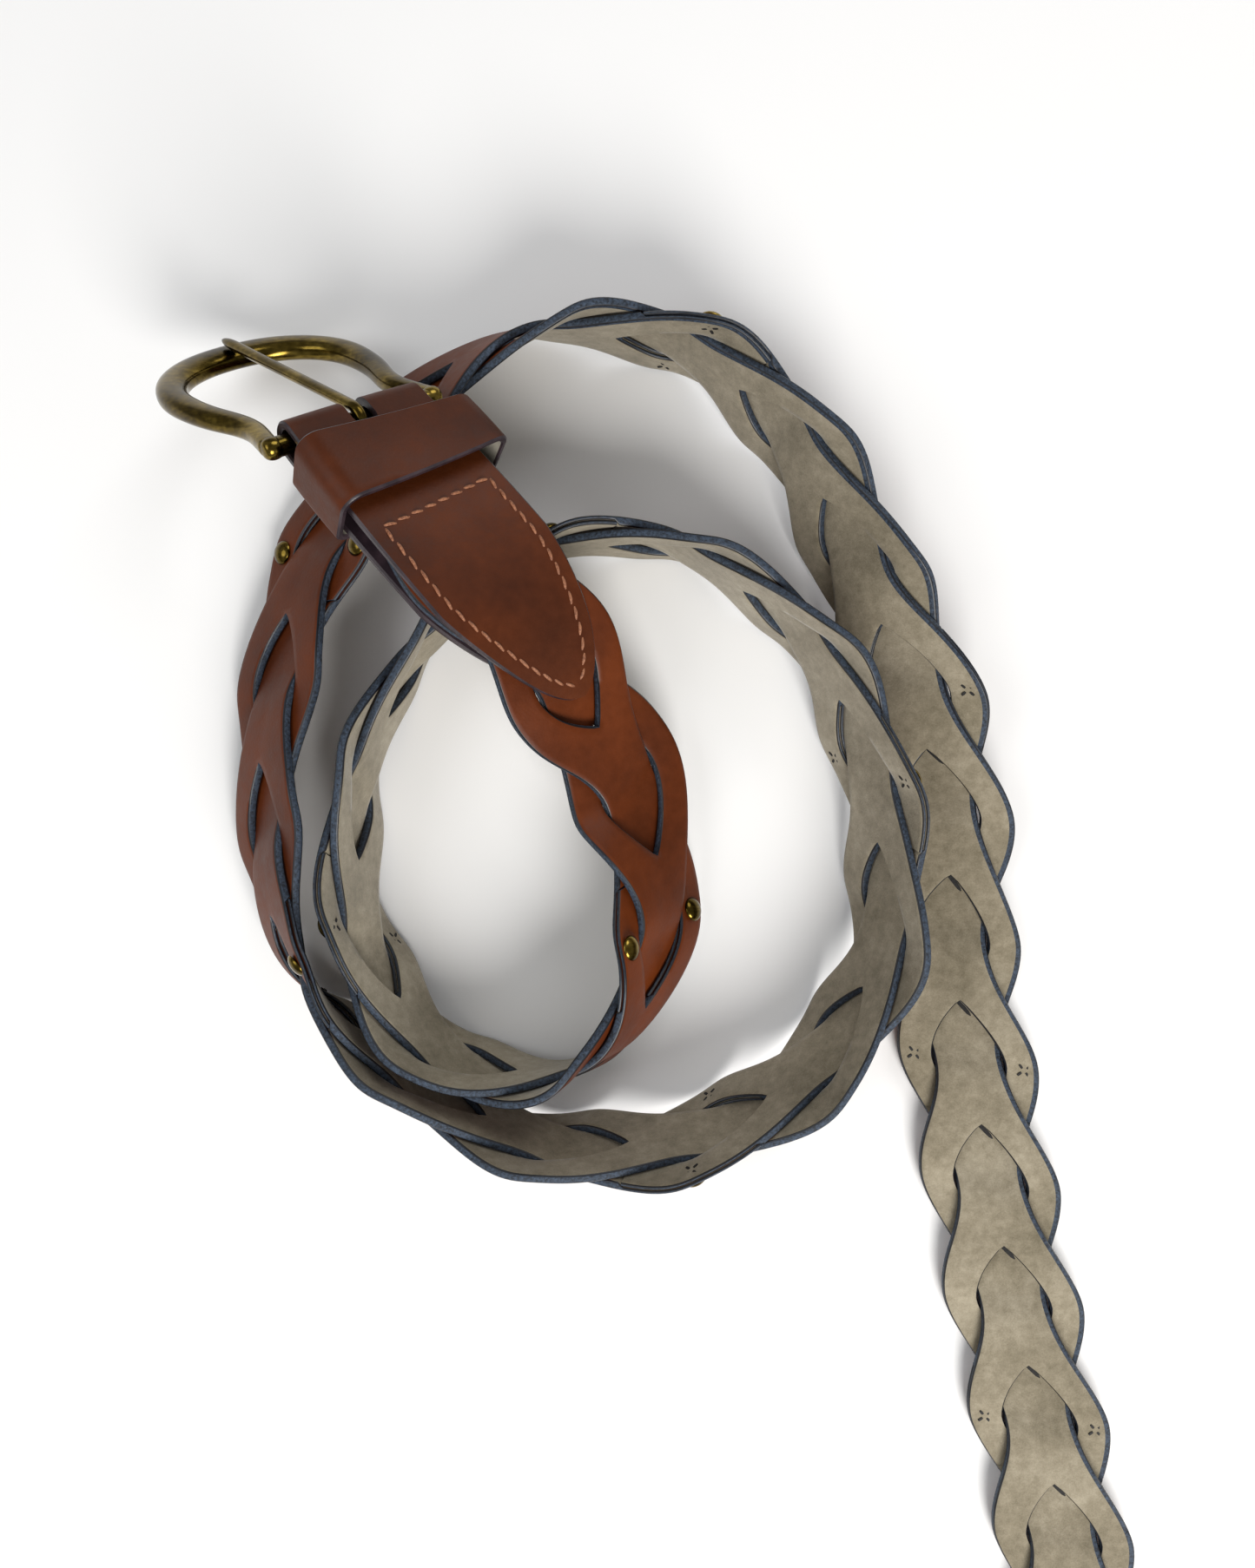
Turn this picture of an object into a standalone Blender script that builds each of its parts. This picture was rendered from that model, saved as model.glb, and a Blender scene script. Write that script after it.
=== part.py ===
"""A link-braided leather belt lying coiled on edge, with its tail laid out flat.

Two straps are linked: each has slits, and the other strap is pulled through them. The straps are cut from
short lengths that are lapped and riveted. A folded leather tab holds the buckle, its prong and the keeper.
"""

import math

import bmesh
import bpy
import numpy as np
from mathutils import Matrix

MM = 0.001

# Where the belt's own bounding box puts its origin, from the point that the route is measured from (mm).
ORIGIN = np.array([12.7, -81.96, -0.35])

# The belt's centre line, seen from above (mm): x, y, the lean of its width away from upright (degrees),
# and how far its lower edge is off the table (mm). 90 degrees lies flat with the smooth side down.
ROUTE = [
    (-59.5, 78.8, -56, 29.6), (-50.8, 68.3, -60, 33.9), (-40.8, 56.7, -64, 36.6), (-29.5, 44, -67, 35.5),
    (-17.8, 30, -68, 29.2), (-7.8, 13.5, -66, 14.6), (0.5, -1.5, -60, 5.2), (5.5, -17, -46, 1.0),
    (7, -32, -36, 0), (4, -46.5, -27, 0), (-3, -58.5, -17, 0), (-13.5, -66, -6, 0), (-26, -67.5, 7, 0),
    (-38, -64.5, 15, 0), (-49, -56, 18, 0), (-57, -44, 18, 0), (-62, -30, 14, 0), (-63.5, -16, 12, 0),
    (-62, -2, 8, 0), (-58.5, 12, 4, 0), (-51.5, 25, 1, 0), (-43, 36.5, 0, 0), (-31.5, 47, 0, 0),
    (-17.5, 54.5, -1, 0), (-1, 56.5, 0, 0), (14, 53.5, 2, 0), (27.5, 46, 7, 0), (39.5, 35.5, 12, 0),
    (49, 22.5, 18, 0), (54.5, 8, 22, 0), (58.5, -7.5, 23, 0), (59.5, -22.5, 23, 0), (59, -37, 23, 0),
    (53.5, -51, 23, 0), (44, -63.5, 24, 0), (32, -73.5, 21, 0), (18, -80, 20, 0), (3, -83.5, 17, 0),
    (-13, -83.5, 15, 0), (-29, -79.5, 12, 0), (-44, -71.5, 10, 0), (-57.5, -61.5, 8, 0),
    (-68.5, -51.5, -6, 0), (-76, -40, -22, 0), (-80.5, -27, -32, 0), (-82.5, -12, -37, 0), (-83, 3, -41, 0),
    (-81.5, 18, -44, 0), (-79, 32, -47, 0), (-75, 45, -49, 0), (-68.5, 58.5, -50, 0), (-60, 72, -48, 0),
    (-51, 84, -43, 0), (-39.5, 94.5, -34, 0), (-27, 101.5, -22, 0), (-12.5, 104.5, -8, 0),
    (2.5, 103.5, 2, 0), (15.5, 99.5, 9, 0), (27, 91.5, 16, 0), (36.5, 81.5, 21, 0), (44.5, 69.5, 28, 0),
    (51, 57, 34, 0), (56.5, 44, 41, 0), (62.5, 31.5, 50, 0), (68, 17, 61, 0), (73, -1, 73, 0),
    (76.5, -20, 84, 0), (78, -42, 90, 0), (82.5, -72, 90, 0), (88.5, -105, 90, 0), (95, -137, 90, 0),
    (102, -170, 90, 0.6), (108, -205, 90, 1.4), (113, -240, 90, 1.4), (118, -275, 90, 1.4),
]
EDGE_CLEARANCE = 3.0  # from the table to the middle of the belt where it lies flat

# The braid (mm; positions along the belt are measured from the fold round the buckle's bar)
WIDTH = 32.0
LEATHER = 2.0
STRAP_RISE = 1.27  # how far a strap's middle moves to either side of the belt's middle
SLIT_HALF_LENGTH = 0.55  # in links
SLIT_HALF_OPENING = 0.3  # in belt widths
COIL_LINK = 34.6
FIRST_COIL_CROSSING = 194.5  # crossing 0, and the others count along the belt from it
TAIL_FROM = 19
TAIL_FIRST_CROSSING = 855.5
TAIL_LINK = 32.6
TAIL_CLOSING = 0.45  # each link of the tail is this much shorter than the one before
BRAID_START = 15.0
BRAID_END = 1236.0
BRAID_SLANT = 0.35  # how far every mark of the braid moves along the belt for each mm across it
FIRST_CROSSING = -5
LAST_CROSSING = 31
SPLICE_EVERY = 3
FIRST_SPLICE = -2
SPLICE_LAP = 0.2  # half the lap's length, in links
LAP_STEP = 0.4
SKIVE = 0.28  # half the gap between lapped ends

RIVET_V = 12.5
RIVET_HEAD = 2.9
RIVET_SHANK = 1.1
RIVET_HOLE = 1.7
GAP = 0.3
RIVET_GAP = 0.8  # under a rivet's flat head, where the belt curves

TAB_LEATHER = 1.7
TAB_TIP = 80.0
TAB_BACK_END = 77.0
TAB_LAYER = 3.4  # from the belt's middle to the middle of either layer
TAB_SHOULDER = 48.0  # where the tip's curve starts
BAR_U = 4.6
SLOT_HALF_WIDTH = 2.9
SLOT_START = -6.0  # ahead of the fold
SLOT_END = 10.2
SLOT_REACH = 9.0  # past both layers of the tab

KEEPER_FROM = 12.0
KEEPER_TO = 26.2
KEEPER_LEATHER = 1.6
KEEPER_ROOM = 3.4  # between the tab's front and the keeper, pressed nearly flat
KEEPER_SLACK = 4.4  # from the tab's right edge to the middle of the keeper's leather
KEEPER_SKEW = -0.13  # the keeper sits a little askew on the tab
KEEPER_CORNERS = (2.0, 4.0, 3.0, 2.0)  # the loop's corner radii, from the lower left round

BAR_RADIUS = 2.0
ARM_AT_BAR = 19.6
BUCKLE_LENGTH = 58.0
BUCKLE_DROOP = 26.0  # degrees, the buckle hangs below the line of the tab
PRONG_RADIUS = 1.15

TIP_FROM = 1214.0
TIP_TO = 1270.0
TIP_LEATHER = 1.5
TIP_SHOULDER = 30.0

COLOURS = {
    "leather_front": ((0.20, 0.065, 0.022), 0.45, 0.0),
    "leather_tab": ((0.16, 0.045, 0.016), 0.42, 0.0),
    "brass": ((0.42, 0.32, 0.10), 0.32, 1.0),
}


def clear_scene():
    for obj in list(bpy.data.objects):
        bpy.data.objects.remove(obj, do_unlink=True)


def natural_spline(knots, values, at):
    """A natural cubic spline through values at knots, read at the places given."""
    count = len(knots)
    step = np.diff(knots)
    system = np.zeros((count, count))
    right = np.zeros((count, values.shape[1]))
    system[0, 0] = system[-1, -1] = 1.0
    for i in range(1, count - 1):
        system[i, i - 1 : i + 2] = step[i - 1], 2 * (step[i - 1] + step[i]), step[i]
        right[i] = 6 * ((values[i + 1] - values[i]) / step[i] - (values[i] - values[i - 1]) / step[i - 1])
    bend = np.linalg.solve(system, right)
    k = np.clip(np.searchsorted(knots, at) - 1, 0, count - 2)
    span = step[k][:, None]
    after = (knots[k + 1] - at)[:, None]
    before = (at - knots[k])[:, None]
    curved = (bend[k] * after**3 + bend[k + 1] * before**3) / (6 * span)
    return (
        curved
        + (values[k] / span - bend[k] * span / 6) * after
        + (values[k + 1] / span - bend[k + 1] * span / 6) * before
    )


def belt_line():
    """Length along the belt, and its centre and lean at closely spaced places."""
    route = np.array(ROUTE, float)
    lean = np.radians(route[:, 2])
    height = WIDTH / 2 * np.cos(lean) + EDGE_CLEARANCE * np.abs(np.sin(lean)) + route[:, 3]
    points = np.column_stack([route[:, :2], height, route[:, 2]])
    chord = np.linalg.norm(np.diff(points[:, :3], axis=0), axis=1)
    knots = np.concatenate([[0], np.cumsum(chord)])
    line = natural_spline(knots, points, np.linspace(0, knots[-1], 6000))
    run = np.linalg.norm(np.diff(line[:, :3], axis=0), axis=1)
    line[:, :3] -= ORIGIN
    return np.concatenate([[0], np.cumsum(run)]), line


LENGTHS, LINE = belt_line()


def centre(u):
    return np.array([np.interp(u, LENGTHS, LINE[:, k]) for k in range(3)])


def belt_frame(u):
    """The belt's middle, its direction, the direction of its width and its smooth side's normal."""
    along = centre(u + 0.5) - centre(u - 0.5)
    along /= np.linalg.norm(along)
    out = np.cross([0.0, 0.0, 1.0], along)
    out /= np.linalg.norm(out)
    up = np.cross(along, out)
    lean = math.radians(np.interp(u, LENGTHS, LINE[:, 3]))
    wide = math.cos(lean) * up + math.sin(lean) * out
    return centre(u), along, wide, np.cross(wide, along)


def at_belt(u, v, h):
    """A point of the belt: u along it, v across it and h out of its smooth side (mm)."""
    middle, _, wide, normal = belt_frame(u)
    return middle + v * wide + h * normal


def at_braid(u, v, h):
    """A point of the braid, whose marks run slanting across the belt."""
    return at_belt(u + BRAID_SLANT * v, v, h)


def crossing(i):
    """Where crossing i's middle is along the belt, and the length of a link there."""
    if i < TAIL_FROM - 1:
        return FIRST_COIL_CROSSING + (i + 0.5) * COIL_LINK, COIL_LINK
    j = i - TAIL_FROM
    link = TAIL_LINK - TAIL_CLOSING * j
    start = TAIL_FIRST_CROSSING + j * TAIL_LINK - TAIL_CLOSING * j * (j - 1) / 2
    return start + link / 2, link


def make_node(name, points, faces, colour, sharp=40):
    mesh = bpy.data.meshes.new(name)
    mesh.from_pydata([tuple(p * MM) for p in points], [], faces)
    work = bmesh.new()
    work.from_mesh(mesh)
    bmesh.ops.recalc_face_normals(work, faces=work.faces)
    if work.calc_volume(signed=True) < 0:
        bmesh.ops.reverse_faces(work, faces=work.faces)
    work.to_mesh(mesh)
    work.free()
    obj = bpy.data.objects.new(name, mesh)
    bpy.context.collection.objects.link(obj)
    base, roughness, metallic = COLOURS[colour]
    material = bpy.data.materials.new(name)
    material.use_nodes = True
    shader = material.node_tree.nodes["Principled BSDF"]
    shader.inputs["Base Color"].default_value = (*base, 1)
    shader.inputs["Roughness"].default_value = roughness
    shader.inputs["Metallic"].default_value = metallic
    mesh.materials.append(material)
    mesh.shade_smooth()
    mesh.set_sharp_from_angle(angle=math.radians(sharp))
    return obj


def tube(rings, closed):
    """Points and faces of a tube through rings of equal size. An open one has flat ends."""
    size = len(rings[0])
    points = [p for ring in rings for p in ring]
    faces = []
    last = len(rings) if closed else len(rings) - 1
    for i in range(last):
        a = i * size
        b = (i + 1) % len(rings) * size
        for k in range(size):
            m = (k + 1) % size
            faces.append((a + k, a + m, b + m, b + k))
    if not closed:
        faces.append(tuple(range(size))[::-1])
        faces.append(tuple(range(len(points) - size, len(points))))
    return points, faces


def phase_in(u, parity):
    """The nearest crossing where this strap has its slit, how far u is from it in links, and the link."""
    best = None
    for i in range(FIRST_CROSSING - 2, LAST_CROSSING + 3):
        if i % 2 != parity:
            continue
        middle, link = crossing(i)
        before, _ = crossing(i - 1)
        after, _ = crossing(i + 1)
        span = (middle - before) if u < middle else (after - middle)
        phase = (u - middle) / span
        if best is None or abs(phase) < abs(best[1]):
            best = (i, phase, link)
    return best


def section(u, parity):
    """Half the strap's width, half its slit's opening and its height at u."""
    i, phase, link = phase_in(u, parity)
    half = WIDTH * (0.37 + 0.13 * math.cos(math.pi * phase))
    inside = abs((u - crossing(i)[0]) / link) / SLIT_HALF_LENGTH
    opened = FIRST_CROSSING <= i <= LAST_CROSSING and inside < 1 - 1e-6
    slit = WIDTH * SLIT_HALF_OPENING * (1 - inside**3) if opened else 0.0
    height = STRAP_RISE * max(-1, min(1, 1.8 * math.sin(math.pi * phase)))
    return half, slit, height


def stations(start, end, parity, per_link=7):
    """Places along the strap from start to end, which include each slit's ends and middle."""
    marks = {start, end}
    for i in range(FIRST_CROSSING, LAST_CROSSING + 1):
        middle, link = crossing(i)
        if i % 2 == parity:
            reach = SLIT_HALF_LENGTH * link
            marks |= {middle - reach, middle, middle + reach}
        else:
            marks |= {middle}
    marks = sorted(m for m in marks if start <= m <= end)
    places = [marks[0]]
    for a, b in zip(marks, marks[1:]):
        count = max(1, round((b - a) * per_link / COIL_LINK))
        places += [a + (b - a) * k / count for k in range(1, count + 1)]
    return places


def strap_length(name, parity, start, end, lap_before, lap_after):
    """One length of strap. Where it is lapped, its arms are skived to half their thickness."""
    rows = []
    for u in stations(start, end, parity):
        front, back = LEATHER / 2, -LEATHER / 2
        rows.append((u, front, back))
    if lap_after is not None:  # its arms run behind the next length's
        rows = [r for r in rows if r[0] < lap_after - LAP_STEP * 3 or r[0] > lap_after + LAP_STEP]
        rows = [(u, -SKIVE if u > lap_after else f, b) for u, f, b in rows]
        rows += [(lap_after - 2 * LAP_STEP, LEATHER / 2, -LEATHER / 2)]
        rows += [(lap_after - LAP_STEP, -SKIVE, -LEATHER / 2)]
    if lap_before is not None:
        rows = [r for r in rows if r[0] > lap_before + LAP_STEP * 3 or r[0] < lap_before - LAP_STEP]
        rows = [(u, f, SKIVE if u < lap_before else b) for u, f, b in rows]
        rows += [(lap_before + 2 * LAP_STEP, LEATHER / 2, -LEATHER / 2)]
        rows += [(lap_before + LAP_STEP, LEATHER / 2, SKIVE)]
    rows.sort()
    points, faces, columns = [], [], []
    for u, front, back in rows:
        half, slit, height = section(u, parity)
        across = [-half, -slit, slit, half] if slit > 0.02 else [-half, 0.0, half]
        first = len(points)
        for v in across:
            points += [at_braid(u, v, height + front), at_braid(u, v, height + back)]
        index = [first + 2 * k for k in range(len(across))]
        columns.append(index if len(index) == 4 else [index[0], index[1], index[1], index[2]])
    for a, b in zip(columns, columns[1:]):
        for left, right in ((0, 1), (2, 3)):
            faces.append((a[left], a[right], b[right], b[left]))
            faces.append((b[left] + 1, b[right] + 1, a[right] + 1, a[left] + 1))
        walls = [0, 3]
        if a[1] != a[2] or b[1] != b[2]:
            walls += [1, 2]
        for k in walls:
            faces.append((a[k], b[k], b[k] + 1, a[k] + 1))
    for end_row in (columns[0], columns[-1]):
        if end_row[1] == end_row[2]:
            a, m, b = end_row[0], end_row[1], end_row[3]
            faces.append((a, m, b, b + 1, m + 1, a + 1))
        else:
            faces.append((end_row[0], end_row[1], end_row[1] + 1, end_row[0] + 1))
            faces.append((end_row[2], end_row[3], end_row[3] + 1, end_row[2] + 1))
    return make_node(name, points, faces, "leather_front", sharp=60)


def splices(parity):
    return [i for i in range(FIRST_SPLICE, LAST_CROSSING, SPLICE_EVERY) if i % 2 == parity]


def build_strap(label, parity):
    """All the lengths of one strap, from the tab to the tip."""
    starts = [(BRAID_START, None)]
    ends = []
    for i in splices(parity):
        middle, link = crossing(i)
        ends.append((middle + SPLICE_LAP * link, middle - SPLICE_LAP * link))
        starts.append((middle - SPLICE_LAP * link, middle + SPLICE_LAP * link))
    ends.append((BRAID_END, None))
    lengths = []
    for number, ((start, before), (end, after)) in enumerate(zip(starts, ends), 1):
        name = f"{label}_{number}"
        lengths.append(strap_length(name, parity, start, end, before, after))
    return lengths


def drill(obj, u, v, height):
    """Cuts a rivet's hole through a strap."""
    rings = []
    for h in (height - 4, height + 4):
        rings.append([
            at_belt(u + BRAID_SLANT * v + RIVET_HOLE * math.cos(a), v + RIVET_HOLE * math.sin(a), h)
            for a in (np.arange(8) + 0.37) * math.tau / 8
        ])
    points, faces = tube(rings, False)
    cutter = make_node("hole_cutter", points, faces, "brass")
    cutter.hide_render = True
    cutter.display_type = "WIRE"
    cut = obj.modifiers.new("rivet hole", "BOOLEAN")
    cut.operation = "DIFFERENCE"
    cut.object = cutter


def build_rivet(name, parity, u, v, height):
    """A rivet: a domed cap on the smooth side, a shank, and the turned-over end on the suede side."""
    front = LEATHER / 2 + RIVET_GAP
    back = -LEATHER / 2 - RIVET_GAP
    profile = [
        (0.9, front + 1.3), (1.9, front + 1.05), (2.6, front + 0.6), (RIVET_HEAD, front),
        (RIVET_SHANK, front), (RIVET_SHANK, back), (2.0, back), (1.7, back - 0.5),
    ]
    middle, along, wide, normal = belt_frame(u + BRAID_SLANT * v)
    slope = section(u + 1, parity)[2] - section(u - 1, parity)[2]
    along = along + slope / 2 * normal
    along /= np.linalg.norm(along)
    normal = np.cross(wide, along)
    rings = []
    for radius, h in profile:
        rings.append([
            middle + v * wide + (height + h) * normal
            + radius * (math.cos(a) * along + math.sin(a) * wide)
            for a in np.arange(10) * math.tau / 10
        ])
    points, faces = tube(rings, False)
    return make_node(name, points, faces, "brass", sharp=50)


def build_rivets(lengths):
    for parity, pieces in lengths.items():
        for piece, i in enumerate(splices(parity)):
            middle, _ = crossing(i)
            height = section(middle, parity)[2]
            for side, v in (("a", RIVET_V), ("b", -RIVET_V)):
                number = (i - FIRST_SPLICE) // SPLICE_EVERY + 1
                build_rivet(f"rivet_{number:02d}{side}", parity, middle, v, height)
                drill(pieces[piece], middle, v, height)
                drill(pieces[piece + 1], middle, v, height)


def tip_half_width(distance, shoulder, width=WIDTH):
    """Half the width of a pointed end at a distance from its point: two arcs that meet there."""
    if distance >= shoulder:
        return width / 2
    share = distance / shoulder
    return width / 2 * math.sqrt(max(0.0, 1 - (1 - share) ** 2)) * (0.72 + 0.28 * share)


def build_tab():
    """The leather tab: a strip from the pointed front end, round the buckle's bar and back underneath."""
    reach = TAB_TIP - TAB_SHOULDER
    path = []
    for k in range(19):
        u = TAB_TIP - 0.5 - (TAB_TIP - 0.5 - BAR_U) * k / 18
        path.append((u, TAB_LAYER, tip_half_width(TAB_TIP - u, reach)))
    for k in range(1, 8):
        turn = math.pi * k / 8
        path.append((BAR_U - TAB_LAYER * math.sin(turn), TAB_LAYER * math.cos(turn), WIDTH / 2))
    for k in range(15):
        u = BAR_U + (TAB_BACK_END - 0.5 - BAR_U) * k / 14
        path.append((u, -TAB_LAYER, tip_half_width(TAB_BACK_END - u, reach)))
    rings = []
    for k, (u, h, half) in enumerate(path):
        before = path[max(k - 1, 0)]
        after = path[min(k + 1, len(path) - 1)]
        run = np.array([after[0] - before[0], after[1] - before[1]])
        run /= np.linalg.norm(run)
        side = np.array([run[1], -run[0]]) * TAB_LEATHER / 2
        ring = []
        for sign, v in ((1, -half), (1, -half / 3), (1, half / 3), (1, half), (-1, half), (-1, half / 3),
                        (-1, -half / 3), (-1, -half)):
            ring.append(at_belt(u + sign * side[0], v, h + sign * side[1]))
        rings.append(ring)
    points, faces = tube(rings, False)
    tab = make_node("tab_leather", points, faces, "leather_tab", sharp=50)
    corners = []
    for u in (SLOT_START, SLOT_END):
        corners.append([
            at_belt(BAR_U, v, h) + (u - BAR_U) * belt_frame(BAR_U)[1]
            for v, h in ((-SLOT_HALF_WIDTH, -SLOT_REACH), (SLOT_HALF_WIDTH, -SLOT_REACH),
                         (SLOT_HALF_WIDTH, SLOT_REACH), (-SLOT_HALF_WIDTH, SLOT_REACH))
        ])
    points, faces = tube(corners, False)
    cutter = make_node("prong_slot_cutter", points, faces, "brass")
    cutter.hide_render = True
    cutter.display_type = "WIRE"
    cut = tab.modifiers.new("prong slot", "BOOLEAN")
    cut.operation = "DIFFERENCE"
    cut.object = cutter
    return tab


def build_keeper():
    """The fixed keeper: a leather loop round the tab, with room for the other end of the belt."""
    low = -TAB_LAYER - TAB_LEATHER / 2 - 2 * GAP - KEEPER_LEATHER / 2
    high = TAB_LAYER + TAB_LEATHER / 2 + KEEPER_ROOM + KEEPER_LEATHER / 2
    near = WIDTH / 2 + 2 * GAP + KEEPER_LEATHER / 2
    far = -(WIDTH / 2 + KEEPER_SLACK)
    corners = zip((near, near, far, far), (low, high, high, low), KEEPER_CORNERS)
    line = []
    for k, (v, h, radius) in enumerate(corners):
        v_in = -1 if v > 0 else 1
        h_in = 1 if h < 0 else -1
        heart = (v + v_in * radius, h + h_in * radius)
        start = [-math.pi / 2, 0, math.pi / 2, math.pi][k]
        for j in range(5):
            turn = start + math.pi / 2 * j / 4
            out = (math.cos(turn), math.sin(turn))
            line.append(((heart[0] + radius * out[0], heart[1] + radius * out[1]), out))
    places = np.linspace(KEEPER_FROM, KEEPER_TO, 4)
    rings = []
    for (v, h), (out_v, out_h) in line:
        ring = []
        for u, side in [(u, 1) for u in places] + [(u, -1) for u in places[::-1]]:
            reach = side * KEEPER_LEATHER / 2
            ring.append(at_belt(u + KEEPER_SKEW * v, v + out_v * reach, h + out_h * reach))
        rings.append(ring)
    points, faces = tube(rings, True)
    return make_node("keeper_loop", points, faces, "leather_tab", sharp=50)


def build_tip(name, side):
    """One of the two stitched leather layers that close the belt's pointed end, laid flat."""
    middle, along, wide, _ = belt_frame((TIP_FROM + TIP_TO) / 2)
    along = np.array([along[0], along[1], 0.0])
    along /= np.linalg.norm(along)
    wide = np.cross(along, [0.0, 0.0, 1.0]) * (1 if wide @ np.cross(along, [0, 0, 1]) > 0 else -1)
    inner = LEATHER / 2 + STRAP_RISE + 1.5 * GAP
    low, high = sorted((side * inner, side * (inner + TIP_LEATHER)))
    rings = []
    half_length = (TIP_TO - TIP_FROM) / 2
    for k in range(15):
        s = -half_length + (2 * half_length - 0.5) * k / 14
        half = tip_half_width(half_length - s, TIP_SHOULDER)
        rings.append([
            middle + s * along + v * wide + np.array([0, 0, z])
            for v, z in ((-half, low), (half, low), (half, high), (-half, high))
        ])
    points, faces = tube(rings, False)
    return make_node(name, points, faces, "leather_front", sharp=50)


def buckle_axes():
    """The bar's middle, the bar's direction, the way to the nose and the way out of the buckle's front."""
    heart, along, wide, normal = belt_frame(BAR_U)
    droop = math.radians(BUCKLE_DROOP)
    nose = -along * math.cos(droop) - normal * math.sin(droop)
    return heart, wide, nose, np.cross(nose, wide)


def frame_outline():
    """The buckle frame's centre line on one side, from the bar's end to the nose: r, s, half width, half height."""
    return [
        (ARM_AT_BAR, 0.0, 2.2, 2.0), (ARM_AT_BAR - 0.8, 4.0, 2.2, 2.0), (ARM_AT_BAR - 1.8, 9.5, 2.3, 2.1),
        (ARM_AT_BAR - 1.4, 15.0, 2.4, 2.2), (ARM_AT_BAR + 0.6, 22.0, 2.6, 2.3), (ARM_AT_BAR + 2.0, 30.0, 2.9, 2.4),
        (ARM_AT_BAR + 1.8, 38.0, 3.2, 2.5), (ARM_AT_BAR - 1.0, 45.0, 3.5, 2.5), (ARM_AT_BAR - 6.2, 50.3, 3.8, 2.5),
        (ARM_AT_BAR - 12.6, 53.2, 4.0, 2.5), (0.0, BUCKLE_LENGTH - 4.0, 4.0, 2.5),
    ]


def build_buckle_frame():
    """The horseshoe frame and its bar, one casting."""
    heart, wide, nose, front = buckle_axes()
    side = frame_outline()
    loop = [(-r, s, a, b) for r, s, a, b in side] + side[-2::-1]
    bar = [(ARM_AT_BAR - 2.6, 0.0), (8.0, 0.0), (0.0, 0.0), (-8.0, 0.0), (2.6 - ARM_AT_BAR, 0.0)]
    loop += [(r, s, BAR_RADIUS, BAR_RADIUS) for r, s in bar]
    rings = []
    for k, (r, s, a, b) in enumerate(loop):
        before = loop[k - 1]
        after = loop[(k + 1) % len(loop)]
        run = np.array([after[0] - before[0], after[1] - before[1]])
        run /= np.linalg.norm(run)
        out = np.array([run[1], -run[0]])
        ring = []
        for j in range(8):
            turn = math.tau * (j + 0.5) / 8
            x = a * math.cos(turn)
            z = b * math.sin(turn)
            ring.append(heart + (r + x * out[0]) * wide + (s + x * out[1]) * nose + z * front)
        rings.append(ring)
    points, faces = tube(rings, True)
    return make_node("buckle_frame", points, faces, "brass", sharp=60)


def build_prong():
    """The prong: a bar curled round the buckle's bar, which lies along the frame to the nose."""
    heart, wide, nose, front = buckle_axes()
    curl = BAR_RADIUS + GAP + PRONG_RADIUS
    path = [(curl * math.cos(math.radians(a)), curl * math.sin(math.radians(a)))
            for a in np.linspace(-20, -270, 12)]
    rest = 2.5 + GAP + PRONG_RADIUS
    path += [(9.0, curl + 0.1), (20.0, curl + 0.2), (34.0, curl + 0.3), (BUCKLE_LENGTH - 9, rest),
             (BUCKLE_LENGTH - 3, rest)]
    rings = []
    for k, (s, z) in enumerate(path):
        before = path[max(k - 1, 0)]
        after = path[min(k + 1, len(path) - 1)]
        run = np.array([after[0] - before[0], after[1] - before[1]])
        run /= np.linalg.norm(run)
        out = np.array([-run[1], run[0]])
        ring = []
        for j in range(8):
            turn = math.tau * (j + 0.5) / 8
            x = PRONG_RADIUS * 1.15 * math.cos(turn)
            y = PRONG_RADIUS * math.sin(turn)
            ring.append(heart + x * wide + (s + y * out[0]) * nose + (z + y * out[1]) * front)
        rings.append(ring)
    points, faces = tube(rings, False)
    return make_node("buckle_prong", points, faces, "brass", sharp=60)


def hang_on_bar(pieces):
    """Puts each moving piece's origin on the bar's axis."""
    heart = buckle_axes()[0] * MM
    for obj in pieces:
        obj.data.transform(Matrix.Translation(-heart))
        obj.location = heart


def main():
    clear_scene()
    lengths = {0: build_strap("strap_a", 0), 1: build_strap("strap_b", 1)}
    build_rivets(lengths)
    build_tab()
    build_keeper()
    build_tip("tip_front", -1)
    build_tip("tip_back", 1)
    hang_on_bar([build_buckle_frame(), build_prong()])


main()
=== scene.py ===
"""The looks of the link-braided belt.

The fine straps, rivets, tab, keeper, stitching, buckle and tip, and the studio around them. Lengths are in
millimetres and become metres in make_piece. Along the belt u runs from the buckle, v runs across it and h
comes out of its smooth side.
"""

import math

import bmesh
import bpy
import numpy as np
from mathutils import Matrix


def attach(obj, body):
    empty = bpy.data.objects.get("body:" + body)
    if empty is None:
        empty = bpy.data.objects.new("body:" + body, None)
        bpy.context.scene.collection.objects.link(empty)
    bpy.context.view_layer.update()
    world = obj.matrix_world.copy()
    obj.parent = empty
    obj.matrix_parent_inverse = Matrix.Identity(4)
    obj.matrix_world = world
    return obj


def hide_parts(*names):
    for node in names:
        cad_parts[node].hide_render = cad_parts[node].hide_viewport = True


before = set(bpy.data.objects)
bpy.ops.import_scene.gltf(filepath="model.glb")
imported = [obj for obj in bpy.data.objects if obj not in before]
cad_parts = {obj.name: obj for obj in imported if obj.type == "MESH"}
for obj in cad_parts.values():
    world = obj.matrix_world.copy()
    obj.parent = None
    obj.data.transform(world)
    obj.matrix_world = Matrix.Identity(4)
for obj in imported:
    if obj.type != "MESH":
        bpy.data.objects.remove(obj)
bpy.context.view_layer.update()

MM = 0.001
ORIGIN = np.array([12.7, -81.96, -0.35])

# The camera looks straight down from above the route's own zero point.
CAMERA_HEIGHT = 304.0
FOCAL_LENGTH = 28.88

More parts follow.
